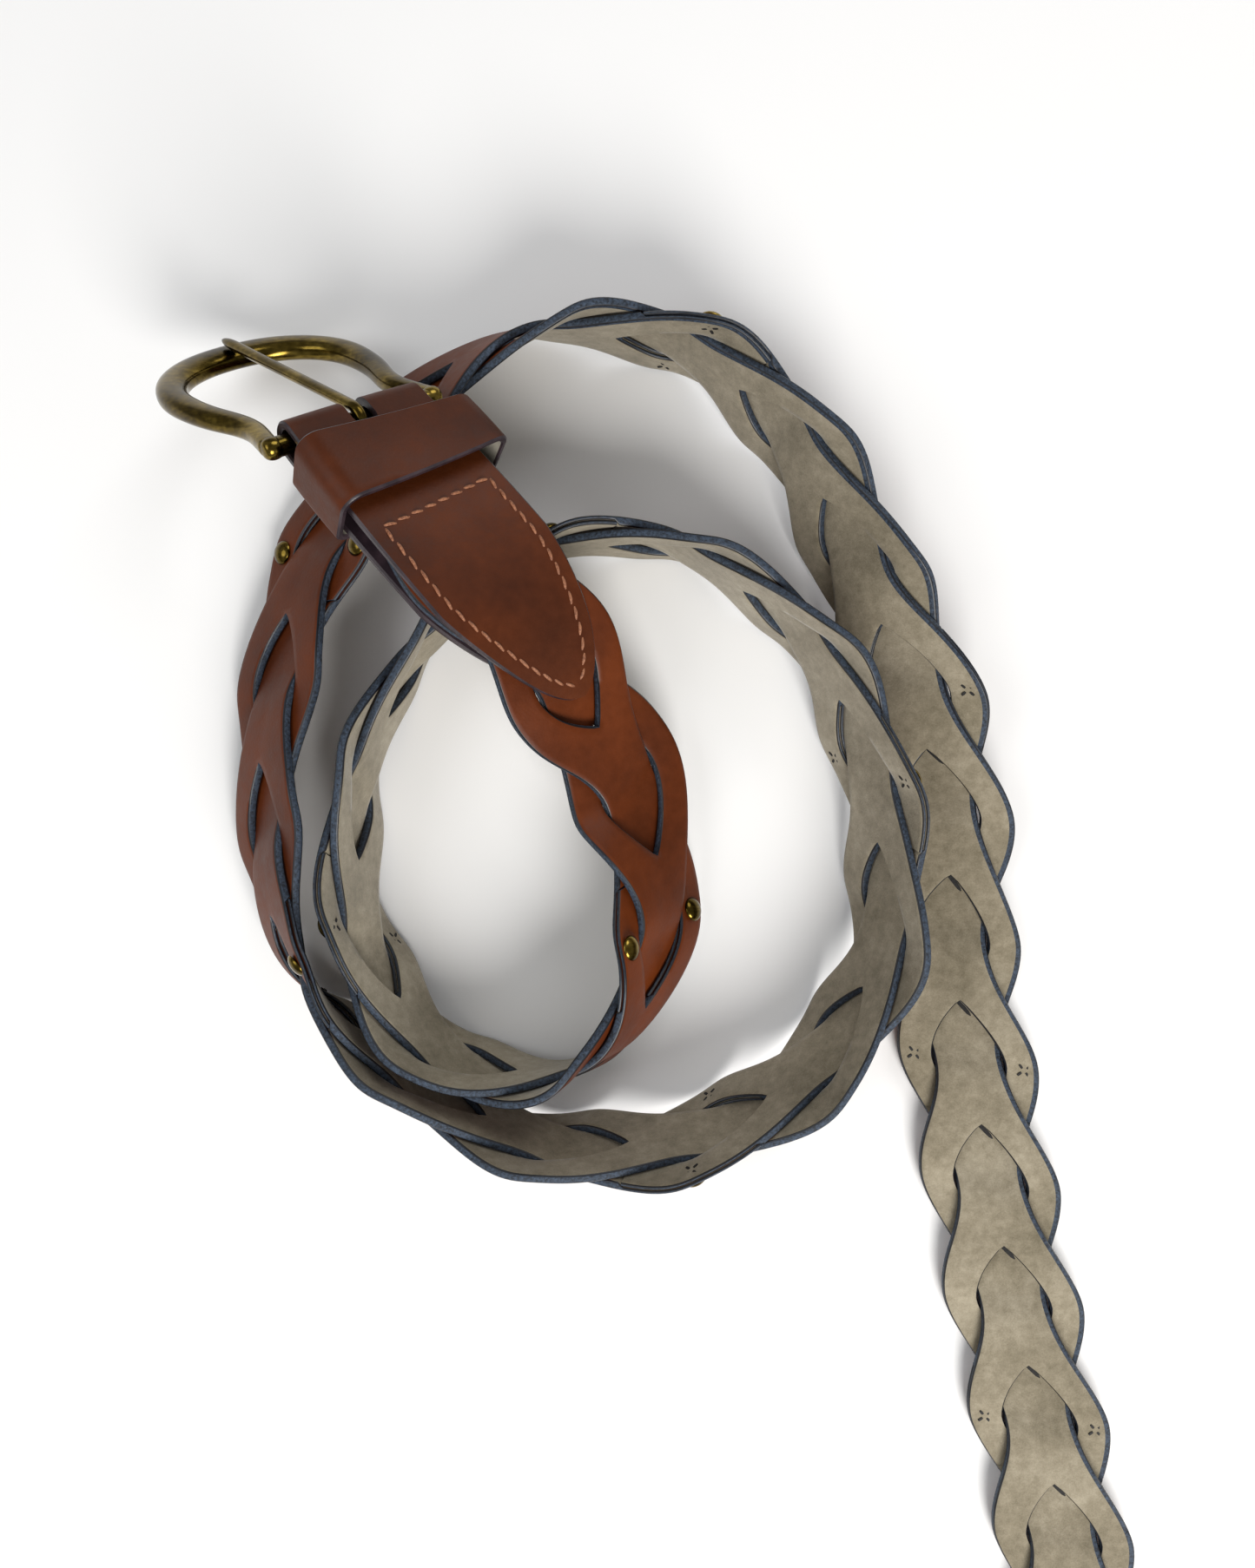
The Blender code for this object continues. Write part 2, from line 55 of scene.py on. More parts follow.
# The belt's centre line, the same as the CAD's (mm, degrees): x, y, lean, lift.
ROUTE = [
    (-59.5, 78.8, -56, 29.6), (-50.8, 68.3, -60, 33.9), (-40.8, 56.7, -64, 36.6), (-29.5, 44, -67, 35.5),
    (-17.8, 30, -68, 29.2), (-7.8, 13.5, -66, 14.6), (0.5, -1.5, -60, 5.2), (5.5, -17, -46, 1.0),
    (7, -32, -36, 0), (4, -46.5, -27, 0), (-3, -58.5, -17, 0), (-13.5, -66, -6, 0), (-26, -67.5, 7, 0),
    (-38, -64.5, 15, 0), (-49, -56, 18, 0), (-57, -44, 18, 0), (-62, -30, 14, 0), (-63.5, -16, 12, 0),
    (-62, -2, 8, 0), (-58.5, 12, 4, 0), (-51.5, 25, 1, 0), (-43, 36.5, 0, 0), (-31.5, 47, 0, 0),
    (-17.5, 54.5, -1, 0), (-1, 56.5, 0, 0), (14, 53.5, 2, 0), (27.5, 46, 7, 0), (39.5, 35.5, 12, 0),
    (49, 22.5, 18, 0), (54.5, 8, 22, 0), (58.5, -7.5, 23, 0), (59.5, -22.5, 23, 0), (59, -37, 23, 0),
    (53.5, -51, 23, 0), (44, -63.5, 24, 0), (32, -73.5, 21, 0), (18, -80, 20, 0), (3, -83.5, 17, 0),
    (-13, -83.5, 15, 0), (-29, -79.5, 12, 0), (-44, -71.5, 10, 0), (-57.5, -61.5, 8, 0),
    (-68.5, -51.5, -6, 0), (-76, -40, -22, 0), (-80.5, -27, -32, 0), (-82.5, -12, -37, 0), (-83, 3, -41, 0),
    (-81.5, 18, -44, 0), (-79, 32, -47, 0), (-75, 45, -49, 0), (-68.5, 58.5, -50, 0), (-60, 72, -48, 0),
    (-51, 84, -43, 0), (-39.5, 94.5, -34, 0), (-27, 101.5, -22, 0), (-12.5, 104.5, -8, 0),
    (2.5, 103.5, 2, 0), (15.5, 99.5, 9, 0), (27, 91.5, 16, 0), (36.5, 81.5, 21, 0), (44.5, 69.5, 28, 0),
    (51, 57, 34, 0), (56.5, 44, 41, 0), (62.5, 31.5, 50, 0), (68, 17, 61, 0), (73, -1, 73, 0),
    (76.5, -20, 84, 0), (78, -42, 90, 0), (82.5, -72, 90, 0), (88.5, -105, 90, 0), (95, -137, 90, 0),
    (102, -170, 90, 0.6), (108, -205, 90, 1.4), (113, -240, 90, 1.4), (118, -275, 90, 1.4),
]
EDGE_CLEARANCE = 3.0  # the middle's height over the table where the belt lies flat
LINE_SAMPLES = 6000

# The braid. Even crossings are slits of strap a, and odd ones are slits of strap b.
WIDTH = 32.0
LEATHER = 2.0
STRAP_RISE = 1.24  # how far a strap runs over or under the centre line between crossings
RISE_STEEPNESS = 2.1
SLIT_HALF_LENGTH = 0.5  # in links
SLIT_HALF_OPENING = 0.262  # as a share of the width
SLIT_ROUNDING = 1.7
COIL_LINK = 34.6
FIRST_COIL_CROSSING = 194.5
TAIL_FROM = 19
TAIL_FIRST_CROSSING = 855.5
TAIL_LINK = 32.6
TAIL_CLOSING = 0.45
BRAID_START = 15.0
BRAID_END = 1236.0
BRAID_SLANT = 0.35
FIRST_CROSSING = -5
LAST_CROSSING = 31
SPLICE_EVERY = 3
FIRST_SPLICE = -2
LAP = 0.44  # half a lap's length in links, so that both its ends lie under the other strap
SKIVE = 0.12  # half the gap between the two skived layers of a lap
SKIVE_RAMP = 0.35
CROWN = 0.12  # of the smooth side between a strap's middle and its edge
STEP = 1.3  # between the stations of a strap
ROUND = 0.32  # the small bevel along a leather edge

RIVET_V = 12.5
RIVET_PROFILE = [
    (0.05, 1.55), (0.8, 1.5), (1.5, 1.32), (2.1, 1.05), (2.6, 0.66),
    (2.86, 0.3), (2.9, 0.05), (2.7, -0.1), (1.1, -0.1), (1.1, -1.6),
]  # radius and height over the leather
STAR_ARMS = 4
STAR_ARM = [(0.75, 0.24), (1.3, 0.32), (1.95, 0.22)]  # distance from the middle, half width
CROTCH_CUT = [(0.0, -0.8, 0.15), (0.9, 0.0, 0.55), (2.1, 1.1, 0.6), (3.2, 2.0, 0.5), (3.8, 2.5, 0.15)]

# The tab, its keeper and the stitching.
TAB_TIP = 80.0
TAB_BACK_END = 77.0
TAB_SHOULDER = 48.0
TAB_LAYER = 3.4  # from the fold's middle to the middle of each layer
TAB_LEATHER = 1.7
TAB_STATIONS = 90
FOLD_STATIONS = 24
POINT_CROWDING = 1.25  # draws the stations together at a pointed end
BAR_U = 4.6
SLOT_HALF_WIDTH = 2.7
SLOT_END = 10.0
KEEPER_FROM = 12.0
KEEPER_TO = 26.2
KEEPER_LEATHER = 1.6
KEEPER_ROOM = 3.4
KEEPER_SLACK = 4.4
KEEPER_SKEW = -0.13
KEEPER_CORNERS = (2.0, 4.0, 3.0, 2.0)
GAP = 0.3
STITCH_INSET = 3.3
STITCH_PITCH = 3.1
STITCH_ROW = 31.0
TIP_STITCH_INSET = 3.0

BAR_RADIUS = 2.0
ARM_AT_BAR = 19.6
BUCKLE_LENGTH = 58.0
BUCKLE_DROOP = 26.0
PRONG_RADIUS = 1.15
KNUCKLE_RADIUS = 2.3
KNUCKLE_HALF_LENGTH = 2.1

TIP_FROM = 1214.0
TIP_TO = 1270.0
TIP_LEATHER = 1.5
TIP_SHOULDER = 30.0
TIP_INNER = LEATHER / 2 + 1.27 + 1.5 * GAP  # from the belt's centre line to each layer


# ---------------------------------------------------------------- the belt's line


def natural_spline(knots, values, at):
    """A natural cubic spline through values at knots, read at the places given."""
    count = len(knots)
    step = np.diff(knots)
    system = np.zeros((count, count))
    right = np.zeros((count, values.shape[1]))
    system[0, 0] = system[-1, -1] = 1.0
    for i in range(1, count - 1):
        system[i, i - 1 : i + 2] = step[i - 1], 2 * (step[i - 1] + step[i]), step[i]
        right[i] = 6 * ((values[i + 1] - values[i]) / step[i] - (values[i] - values[i - 1]) / step[i - 1])
    bend = np.linalg.solve(system, right)
    k = np.clip(np.searchsorted(knots, at) - 1, 0, count - 2)
    span = step[k][:, None]
    after = (knots[k + 1] - at)[:, None]
    before = (at - knots[k])[:, None]
    curved = (bend[k] * after**3 + bend[k + 1] * before**3) / (6 * span)
    return (
        curved
        + (values[k] / span - bend[k] * span / 6) * after
        + (values[k + 1] / span - bend[k + 1] * span / 6) * before
    )


def belt_line():
    """Length along the belt, and its centre and lean at closely spaced places."""
    route = np.array(ROUTE, float)
    lean = np.radians(route[:, 2])
    height = WIDTH / 2 * np.cos(lean) + EDGE_CLEARANCE * np.abs(np.sin(lean)) + route[:, 3]
    points = np.column_stack([route[:, :2], height, route[:, 2]])
    chord = np.linalg.norm(np.diff(points[:, :3], axis=0), axis=1)
    knots = np.concatenate([[0], np.cumsum(chord)])
    line = natural_spline(knots, points, np.linspace(0, knots[-1], LINE_SAMPLES))
    run = np.linalg.norm(np.diff(line[:, :3], axis=0), axis=1)
    line[:, :3] -= ORIGIN
    return np.concatenate([[0], np.cumsum(run)]), line


LENGTHS, LINE = belt_line()


def centres(u):
    return np.stack([np.interp(u, LENGTHS, LINE[:, k]) for k in range(3)], -1)


def belt_frames(u):
    """The belt's middle, direction, width direction and smooth side's normal at each u."""
    u = np.asarray(u, float)
    along = centres(u + 0.5) - centres(u - 0.5)
    along /= np.linalg.norm(along, axis=-1, keepdims=True)
    out = np.cross(np.broadcast_to([0.0, 0.0, 1.0], along.shape), along)
    out /= np.linalg.norm(out, axis=-1, keepdims=True)
    up = np.cross(along, out)
    lean = np.radians(np.interp(u, LENGTHS, LINE[:, 3]))[..., None]
    wide = np.cos(lean) * up + np.sin(lean) * out
    return centres(u), along, wide, np.cross(wide, along)


def at_belt(u, v, h):
    """Points of the belt: u along it, v across it and h out of its smooth side (mm)."""
    u, v, h = np.broadcast_arrays(np.asarray(u, float), v, h)
    middle, _, wide, normal = belt_frames(u)
    return middle + v[..., None] * wide + h[..., None] * normal


def at_braid(u, v, h):
    return at_belt(np.asarray(u) + BRAID_SLANT * np.asarray(v), v, h)


def crossing(i):
    """Where crossing i's middle is along the belt, and the length of a link there."""
    if i < TAIL_FROM - 1:
        return FIRST_COIL_CROSSING + (i + 0.5) * COIL_LINK, COIL_LINK
    j = i - TAIL_FROM
    link = TAIL_LINK - TAIL_CLOSING * j
    start = TAIL_FIRST_CROSSING + j * TAIL_LINK - TAIL_CLOSING * j * (j - 1) / 2
    return start + link / 2, link


# ---------------------------------------------------------------- materials


def srgb(red, green, blue):
    """A linear colour from 0 to 255 display values."""
    out = []
    for value in (red, green, blue):
        share = value / 255
        out.append(share / 12.92 if share <= 0.04045 else ((share + 0.055) / 1.055) ** 2.4)
    return (*out, 1.0)


class Shader:
    """A small helper for building one material's nodes."""

    def __init__(self, name, roughness, metallic=0.0):
        self.material = bpy.data.materials.new(name)
        self.material.use_nodes = True
        self.tree = self.material.node_tree
        self.surface = self.tree.nodes["Principled BSDF"]
        self.surface.inputs["Roughness"].default_value = roughness
        self.surface.inputs["Metallic"].default_value = metallic
        self.place = self.add("ShaderNodeTexCoord").outputs["Object"]

    def add(self, kind, **values):
        node = self.tree.nodes.new(kind)
        for key, value in values.items():
            if hasattr(node, key):
                setattr(node, key, value)
            else:
                node.inputs[key.replace("_", " ")].default_value = value
        return node

    def link(self, a, b):
        self.tree.links.new(a, b)

    def noise(self, scale, detail=3.0, stretch=None, roughness=0.5):
        node = self.add("ShaderNodeTexNoise")
        node.inputs["Scale"].default_value = scale
        node.inputs["Detail"].default_value = detail
        node.inputs["Roughness"].default_value = roughness
        source = self.place
        if stretch:
            mapping = self.add("ShaderNodeMapping")
            mapping.inputs["Scale"].default_value = stretch
            self.link(source, mapping.inputs["Vector"])
            source = mapping.outputs["Vector"]
        self.link(source, node.inputs["Vector"])
        return node.outputs["Fac"]

    def cells(self, scale):
        node = self.add("ShaderNodeTexVoronoi")
        node.inputs["Scale"].default_value = scale
        self.link(self.place, node.inputs["Vector"])
        return node.outputs["Distance"]

    def ramp(self, value, stops):
        node = self.add("ShaderNodeValToRGB")
        marks = node.color_ramp.elements
        while len(marks) < len(stops):
            marks.new(0.5)
        for mark, (place, colour) in zip(marks, stops):
            mark.position = place
            mark.color = colour
        self.link(value, node.inputs["Fac"])
        return node.outputs["Color"]

    def sum(self, parts):
        """A weighted sum of values."""
        total = None
        for value, weight in parts:
            node = self.add("ShaderNodeMath", operation="MULTIPLY_ADD")
            self.link(value, node.inputs[0])
            node.inputs[1].default_value = weight
            if total is None:
                node.inputs[2].default_value = 0.0
            else:
                self.link(total, node.inputs[2])
            total = node.outputs[0]
        return total

    def bump(self, height, strength, distance):
        node = self.add("ShaderNodeBump")
        node.inputs["Strength"].default_value = strength
        node.inputs["Distance"].default_value = distance
        self.link(height, node.inputs["Height"])
        self.link(node.outputs["Normal"], self.surface.inputs["Normal"])

    def colour(self, output):
        self.link(output, self.surface.inputs["Base Color"])

    def rough(self, value, low, high):
        node = self.add("ShaderNodeMapRange")
        node.inputs["To Min"].default_value = low
        node.inputs["To Max"].default_value = high
        self.link(value, node.inputs["Value"])
        self.link(node.outputs["Result"], self.surface.inputs["Roughness"])


def smooth_leather(name, dark, middle, light):
    """Aniline calf: cloudy colour, fine pores and a low sheen."""
    s = Shader(name, 0.45)
    clouds = s.noise(38, 4)
    fine = s.noise(420, 3)
    tone = s.sum([(clouds, 0.8), (fine, 0.2)])
    s.colour(s.ramp(tone, [(0.32, dark), (0.5, middle), (0.7, light)]))
    s.rough(fine, 0.4, 0.58)
    pores = s.cells(1500)
    creases = s.noise(900, 4)
    s.bump(s.sum([(pores, 0.35), (creases, 0.5), (clouds, 0.4)]), 0.25, 0.0002)
    s.surface.inputs["Specular IOR Level"].default_value = 0.2
    return s.material


def suede(name, dark, middle, light):
    """The flesh side: a short nap with brushed patches and specks."""
    s = Shader(name, 0.92)
    patches = s.noise(42, 5, roughness=0.6)
    mottle = s.noise(420, 4, roughness=0.65)
    nap = s.noise(2600, 3, roughness=0.7)
    tone = s.sum([(patches, 0.5), (mottle, 0.3), (nap, 0.2)])
    s.colour(s.ramp(tone, [(0.36, dark), (0.5, middle), (0.64, light)]))
    s.bump(s.sum([(nap, 0.6), (mottle, 0.5)]), 0.5, 0.00025)
    s.surface.inputs["Sheen Weight"].default_value = 0.25
    s.surface.inputs["Sheen Roughness"].default_value = 0.5
    s.surface.inputs["Specular IOR Level"].default_value = 0.2
    return s.material


def fibre_and_cut_shade(name, dark, light):
    """The middle of a cut edge, dyed, with its fibres showing. Also used for the near-black painted shade
    inside cuts and holes.
    """
    s = Shader(name, 0.75)
    fibres = s.noise(1500, 4, roughness=0.7)
    s.colour(s.ramp(fibres, [(0.35, dark), (0.65, light)]))
    s.bump(fibres, 0.6, 0.0003)
    return s.material


def edge_paint(name, colour, light):
    s = Shader(name, 0.42)
    worn = s.noise(260, 3)
    s.colour(s.ramp(worn, [(0.4, colour), (0.75, light)]))
    s.bump(s.noise(900, 3), 0.25, 0.0002)
    return s.material


def antique_brass(name, dark, middle, light):
    """Polished brass with a brown patina, laid in random patches instead of in its hollows."""
    s = Shader(name, 0.3, 1.0)
    patina = s.noise(70, 4)
    specks = s.noise(700, 3)
    scratches = s.noise(320, 3, stretch=(1, 6, 1))
    tone = s.sum([(patina, 0.55), (specks, 0.25), (scratches, 0.2)])
    s.colour(s.ramp(tone, [(0.36, dark), (0.5, middle), (0.66, light)]))
    s.rough(tone, 0.12, 0.28)
    s.bump(s.sum([(scratches, 0.5), (specks, 0.4)]), 0.12, 0.0001)
    return s.material


def waxed_thread(name, dark, light):
    s = Shader(name, 0.6)
    ply = s.noise(1800, 2, stretch=(1, 1, 3))
    s.colour(s.ramp(ply, [(0.35, dark), (0.65, light)]))
    s.bump(ply, 0.5, 0.0002)
    return s.material


STRAP_FRONT = smooth_leather("strap_smooth", srgb(70, 29, 6), srgb(88, 38, 9), srgb(106, 48, 14))
TAB_FRONT = smooth_leather("tab_smooth", srgb(58, 24, 6), srgb(74, 32, 8), srgb(92, 42, 12))
SUEDE = suede("strap_suede", srgb(104, 96, 78), srgb(132, 123, 104), srgb(158, 149, 130))
KEEPER_SUEDE = suede("keeper_suede", srgb(130, 125, 112), srgb(158, 152, 136), srgb(184, 176, 158))
EDGE_DARK = edge_paint("edge_line", srgb(8, 10, 16), srgb(18, 23, 34))
EDGE_FIBRE = fibre_and_cut_shade("edge_fibre", srgb(13, 19, 28), srgb(58, 72, 90))
EDGE_PLUM = edge_paint("tab_edge", srgb(34, 24, 30), srgb(58, 44, 50))
BRASS = antique_brass("antique_brass", srgb(48, 38, 14), srgb(92, 76, 30), srgb(146, 124, 58))
# Near-black painted shade, standing in for the shade inside the cuts and holes of the suede.
CUT_SHADE = fibre_and_cut_shade("cut_painted_shade", srgb(8, 7, 7), srgb(20, 18, 17))
THREAD = waxed_thread("thread", srgb(112, 66, 42), srgb(160, 106, 74))


# ---------------------------------------------------------------- meshes


def make_piece(name, points, faces, materials, slots=None, sharp=35):
    """A mesh object in metres from points in millimetres. slots gives each face's material."""
    mesh = bpy.data.meshes.new(name)
    mesh.from_pydata((np.asarray(points) * MM).tolist(), [], faces)
    for material in materials:
        mesh.materials.append(material)
    if slots is not None:
        mesh.polygons.foreach_set("material_index", np.asarray(slots, np.int32))
    work = bmesh.new()
    work.from_mesh(mesh)
    bmesh.ops.recalc_face_normals(work, faces=work.faces)
    if work.calc_volume(signed=True) < 0:
        bmesh.ops.reverse_faces(work, faces=work.faces)
    work.to_mesh(mesh)
    work.free()
    mesh.shade_smooth()
    mesh.set_sharp_from_angle(angle=math.radians(sharp))
    obj = bpy.data.objects.new(name, mesh)
    bpy.context.collection.objects.link(obj)
    return obj


def put(piece, body, slot, *nodes):
    """Hangs a piece on its body and says which CAD nodes it stands for. The slot is not used."""
    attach(piece, body)
    if nodes:
        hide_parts(*nodes)


def loft(rings, closed=False, slots=None):
    """Points, faces and face slots of a tube through rings of equal size."""
    size = len(rings[0])
    points = np.concatenate(rings)
    faces, marks = [], []
    for i in range(len(rings) if closed else len(rings) - 1):
        a = i * size
        b = (i + 1) % len(rings) * size
        for k in range(size):
            m = (k + 1) % size
            faces.append((a + k, a + m, b + m, b + k))
            marks.append(slots[k] if slots else 0)
    if not closed:
        faces.append(tuple(range(size))[::-1])
        faces.append(tuple(range(len(points) - size, len(points))))
        marks += [slots[-1] if slots else 0] * 2
    return points, faces, marks


# ---------------------------------------------------------------- straps


FRONT, BACK, LINE_EDGE, FIBRE = range(4)
ACROSS = 6  # columns over each half of a strap
PAINTED_FROM = 760.0  # from here the dye of the right edge shows on the suede too


def nearest_slit(u, parity):
    """The strap's slit nearest u: its crossing, and how far off u is in crossings and in links."""
    best = None
    for i in range(FIRST_CROSSING - 2, LAST_CROSSING + 3):
        if i % 2 != parity:
            continue
        middle, link = crossing(i)
        neighbour = crossing(i - 1)[0] if u < middle else crossing(i + 1)[0]
        phase = (u - middle) / abs(neighbour - middle)
        if best is None or abs(phase) < abs(best[1]):
            best = (i, phase, (u - middle) / link)
    return best


def section(u, parity):
    """Half the strap's width, half its slit's opening and its height at u."""
    i, phase, inside = nearest_slit(u, parity)
    half = WIDTH * (0.367 + 0.128 * math.cos(math.pi * phase) + 0.005 * math.cos(2 * math.pi * phase))
    inside = abs(inside) / SLIT_HALF_LENGTH
    opened = FIRST_CROSSING <= i <= LAST_CROSSING and inside < 1 - 1e-6
    slit = WIDTH * SLIT_HALF_OPENING * (1 - inside**SLIT_ROUNDING) if opened else 0.0
    rise = STRAP_RISE * math.tanh(RISE_STEEPNESS * math.sin(math.pi * phase)) / math.tanh(RISE_STEEPNESS)
    return half, slit, rise


def slit_ends(parity, start, end):
    ends = []
    for i in range(FIRST_CROSSING, LAST_CROSSING + 1):
        if i % 2 == parity:
            middle, link = crossing(i)
            ends += [middle - SLIT_HALF_LENGTH * link, middle + SLIT_HALF_LENGTH * link]
    return [u for u in ends if start < u < end]


def strap_piece(name, parity, start, end, before, after):
    """One finished length of strap, its ends skived to half where it is lapped."""
    marks = sorted({start, end, *slit_ends(parity, start, end)})
    places = [marks[0]]
    for a, b in zip(marks, marks[1:]):
        count = max(2, round((b - a) / STEP))
        places += [a + (b - a) * k / count for k in range(1, count + 1)]
    us, vs, hs, rows = [], [], [], []
    for u in places:
        half, slit, height = section(u, parity)
        front, back = LEATHER / 2, -LEATHER / 2
        if after is not None:
            front = np.interp(u, [after - SKIVE_RAMP, after], [front, -SKIVE])
        if before is not None:
            back = np.interp(u, [before, before + SKIVE_RAMP], [SKIVE, back])
        opened = slit > 0.01
        inner = min(ROUND, slit * 0.5)
        bevel = min(ROUND, (front - back) * 0.4)
        row = {"u": u}
        for side in (-1, 1):
            lanes = [slit + inner + (half - ROUND - slit - inner) * k / ACROSS for k in range(ACROSS + 1)]
            lanes[-2] = lanes[-1] - 1.0
            if not opened:
                lanes[0] = 0.0
            index = []
            for k, v in enumerate(lanes):
                if k == 0 and not opened and side == 1:
                    index.append(row["solid"])
                    continue
                crown = CROWN * math.sin(math.pi * k / ACROSS)
                us += [u, u]
                vs += [side * v, side * v]
                hs += [height + front + crown * 0.6, height + back]
                index.append(len(us) - 2)
            if not opened and side == -1:
                row["solid"] = index[0]
            us += [u, u]
            vs += [side * half, side * half]
            hs += [height + front - bevel, height + back + bevel]
            outer = len(us) - 2
            if opened:
                us += [u, u]
                vs += [side * slit, side * slit]
                hs += [height + front - bevel, height + back + bevel]
                wall = len(us) - 2
            else:
                wall = None
            row[side] = (index, outer, wall)
        row["opened"] = opened
        rows.append(row)
    points = at_braid(np.array(us), np.array(vs), np.array(hs))
    faces, slots = [], []

    def face(corners, slot):
        kept = []
        for c in corners:
            if c not in kept:
                kept.append(c)
        if len(kept) > 2:
            faces.append(tuple(kept))
            slots.append(slot)

    for a, b in zip(rows, rows[1:]):
        for side in (-1, 1):
            ia, oa, wa = a[side]
            ib, ob, wb = b[side]
            for k in range(ACROSS):
                face((ia[k], ia[k + 1], ib[k + 1], ib[k]), FRONT)
                painted = k == ACROSS - 1 and side == 1 and a["u"] > PAINTED_FROM
                face((ib[k] + 1, ib[k + 1] + 1, ia[k + 1] + 1, ia[k] + 1), FIBRE if painted else BACK)
            face((ia[-1], oa, ob, ib[-1]), LINE_EDGE)
            face((oa, oa + 1, ob + 1, ob), FIBRE)
            face((oa + 1, ia[-1] + 1, ib[-1] + 1, ob + 1), LINE_EDGE)
            if wa is None and wb is None:
                continue
            ta, ba = (ia[0], ia[0] + 1) if wa is None else (wa, wa + 1)
            tb, bb = (ib[0], ib[0] + 1) if wb is None else (wb, wb + 1)
            face((ta, ia[0], ib[0], tb), LINE_EDGE)
            face((ba, ta, tb, bb), FIBRE)
            face((ia[0] + 1, ba, bb, ib[0] + 1), LINE_EDGE)
    for row in (rows[0], rows[-1]):
        rims = []
        for side in (-1, 1):
            index, outer, wall = row[side]
            rim = list(index) + [outer, outer + 1] + [i + 1 for i in index[::-1]]
            if wall is not None:
                rim += [wall + 1, wall]
            rims.append(rim)
        if row["opened"]:
            for rim in rims:
                face(rim, FIBRE)
        else:
            left, right = rims
            face(left[::-1] + right[1:-1], FIBRE)
    return make_piece(name, points, faces, [STRAP_FRONT, SUEDE, EDGE_DARK, EDGE_FIBRE], slots, sharp=50)


def splices(parity):
    """The crossings under which a strap's lengths are lapped and riveted."""
    return [i for i in range(FIRST_SPLICE, LAST_CROSSING, SPLICE_EVERY) if i % 2 == parity]


def build_straps():
    for label, parity in (("strap_a", 0), ("strap_b", 1)):
        starts, ends = [(BRAID_START, None)], []
        for i in splices(parity):
            middle, link = crossing(i)
            ends.append((middle + LAP * link, middle - LAP * link))
            starts.append((middle - LAP * link, middle + LAP * link))
        ends.append((BRAID_END, None))
        for number, ((start, before), (end, after)) in enumerate(zip(starts, ends), 1):
            node = f"{label}_{number}"
            piece = strap_piece(f"{node}_leather", parity, start, end, before, after)
            put(piece, "belt", "strap_leather", node)


# ---------------------------------------------------------------- rivets


def rivet_rings(middle, along, wide, normal, sides=28):
    turns = np.arange(sides) * math.tau / sides
    round_line = np.cos(turns)[:, None] * along + np.sin(turns)[:, None] * wide
    return [middle + h * normal + radius * round_line for radius, h in RIVET_PROFILE]


def star_cut_shade(foot, along, wide, normal):
    """Points and faces of the four thin dark bars of painted shade that stand for a rivet's cuts in the
    suede.
    """
    points, faces = [], []
    for k in range(STAR_ARMS):
        turn = math.tau * (k + 0.32) / STAR_ARMS
        ray = math.cos(turn) * along + math.sin(turn) * wide
        across = np.cross(normal, ray)
        base = len(points)
        for r, w in STAR_ARM:
            for x in (-w, w):
                for z in (-0.02, 0.25):
                    points.append(foot + r * ray + x * across + z * normal)
        for r in (0, 4):
            a, b, c, d = base + r, base + r + 1, base + r + 3, base + r + 2
            e, f, g, h = a + 4, b + 4, c + 4, d + 4
            faces += [(a, b, f, e), (b, c, g, f), (c, d, h, g), (d, a, e, h)]
        faces.append((base, base + 2, base + 3, base + 1))
        faces.append((base + 8, base + 9, base + 11, base + 10))
    return points, faces


def build_rivets():
    """Domed caps on the smooth side, and small split stars of painted shade where the suede side is punched.
    """
    for parity in (0, 1):
        for i in splices(parity):
            number = (i - FIRST_SPLICE) // SPLICE_EVERY + 1
            middle_u, _ = crossing(i)
            for side, v in (("a", RIVET_V), ("b", -RIVET_V)):
                u = middle_u + BRAID_SLANT * v
                middle, along, wide, normal = belt_frames(u)
                slope = section(middle_u + 1, parity)[2] - section(middle_u - 1, parity)[2]
                along = along + slope / 2 * normal
                along /= np.linalg.norm(along)
                normal = np.cross(wide, along)
                seat = middle + v * wide + (LEATHER / 2) * normal
                points, faces, _ = loft(rivet_rings(seat, along, wide, normal))
                node = f"rivet_{number:02d}{side}"
                cap = make_piece(f"{node}_cap", points, faces, [BRASS])
                put(cap, "belt", "brass", node)
                foot = middle + v * wide - (LEATHER / 2 + 0.04) * normal
                # The stars are painted shade for the punched cuts.
                points, faces = star_cut_shade(foot, along, wide, normal)
                star = make_piece(f"{node}_star", points, faces, [CUT_SHADE])
                put(star, "belt", "brass")


def build_crotch_shade():
    """Thin dark bodies of painted shade for the slanted cut on the suede side where each link leaves the one
    before.
    """
    points, faces = [], []
    back = STRAP_RISE - LEATHER / 2  # the suede side of the strap that runs over
    for i in range(FIRST_CROSSING + 5, LAST_CROSSING + 1):
        middle_u, link = crossing(i)
        start = middle_u - SLIT_HALF_LENGTH * link
        base = len(points)
        for along_u, v, half in CROTCH_CUT:
            for side in (-1, 1):
                place = start + along_u + side * half * 0.65
                for h in (back - 0.05, back + 0.45):
                    points.append(at_braid(place, v - side * half * 0.75, h))
        for k in range(len(CROTCH_CUT) - 1):
            a, b, c, d = (base + 4 * k + j for j in (0, 1, 3, 2))
            faces += [(a, b, b + 4, a + 4), (b, c, c + 4, b + 4), (c, d, d + 4, c + 4), (d, a, a + 4, d + 4)]
        last = base + 4 * (len(CROTCH_CUT) - 1)
        faces += [(base, base + 2, base + 3, base + 1), (last, last + 1, last + 3, last + 2)]
    # These bodies paint the shade that fills each hole at a crotch.
    crotch_shade = make_piece("crotch_painted_shade", points, faces, [CUT_SHADE])
    put(crotch_shade, "belt", "strap_leather")


# ---------------------------------------------------------------- tab, keeper and stitching


def tip_half_width(distance, shoulder):
    """Half the width of a pointed end at a distance from its point."""
    if distance >= shoulder:
        return WIDTH / 2
    share = max(distance, 0.0) / shoulder
    return WIDTH / 2 * math.sqrt(max(0.0, 1 - (1 - share) ** 2)) * (0.72 + 0.28 * share)


